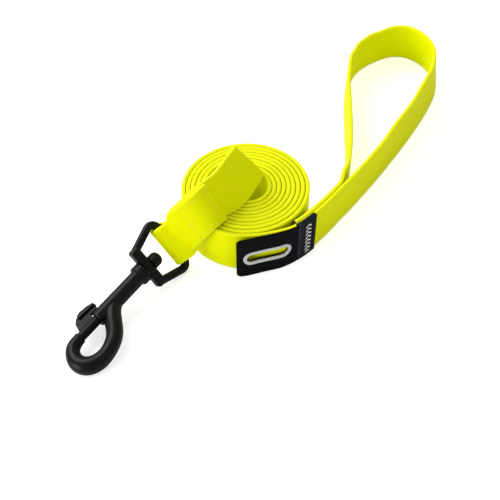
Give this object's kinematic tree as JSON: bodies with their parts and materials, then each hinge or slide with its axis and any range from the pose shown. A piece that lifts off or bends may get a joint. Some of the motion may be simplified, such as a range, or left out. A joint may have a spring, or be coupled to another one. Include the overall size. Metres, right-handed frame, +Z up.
{
  "type": "training leash",
  "caption": "Coated webbing leash rolled into a flat coil, with a sewn hand loop, a slotted rubber tag holder and a swivel bolt snap.",
  "frame": {"origin": "centre of the footprint of the whole coiled leash, on the resting plane", "axes": "+Z up; +Y along the longest extent, from the snap towards the hand loop; +X to the right seen with +Y away"},
  "size_m": [0.199, 0.2432, 0.0507],
  "materials": {
    "strap_coating": "smooth matte fluorescent yellow coating over webbing",
    "label": "woven near-black band",
    "thread_dark": "twisted thread",
    "thread_yellow": "twisted thread",
    "holder_rubber": "matte moulded rubber",
    "rim_plastic": "satin pale moulding",
    "black_coated_metal": "satin black over die-cast metal",
    "spring_steel": "bright wire"
  },
  "bodies": {
    "strap": {"strap": "strap_coating", "label_band": "label", "label_seam_front": "thread_dark", "label_seam_rear": "thread_dark", "handle_seam_front": "thread_yellow", "handle_seam_rear": "thread_yellow", "hook_end_stitching": "thread_yellow"},
    "eye": {"swivel_eye": "black_coated_metal"},
    "snap": {"snap_body": "black_coated_metal", "swivel_pin": "black_coated_metal", "bolt_spring": "spring_steel"},
    "bolt": {"bolt": "black_coated_metal", "thumb_lever": "black_coated_metal"},
    "tab": {"tag_holder": "holder_rubber", "slot_rim": "rim_plastic"}
  },
  "joints": [
    {"name": "eye_tilt", "type": "hinge", "parent": "strap", "child": "eye", "pos_m": [-0.05503, -0.05126, 0.013], "axis": [-0.5942, 0.3443, 0.7269], "range_deg": [-8, 60]},
    {"name": "snap_swivel", "type": "hinge", "parent": "eye", "child": "snap", "pos_m": [-0.067, -0.06725, 0.01079], "axis": [0.5954, 0.7959, 0.1097], "continuous": true},
    {"name": "bolt_slide", "type": "slide", "parent": "snap", "child": "bolt", "axis": [0.5954, 0.7959, 0.1097], "range_m": [0, 0.0095], "stiffness_N_per_m": 350, "springref_m": -0.004, "deforming": ["bolt_spring"]},
    {"name": "tab_flex", "type": "hinge", "parent": "strap", "child": "tab", "pos_m": [0.00685, -0.05198, 0.013], "axis": [0, 0, 1], "range_deg": [0, 70], "stiffness_Nm_per_rad": 0.02}
  ]
}
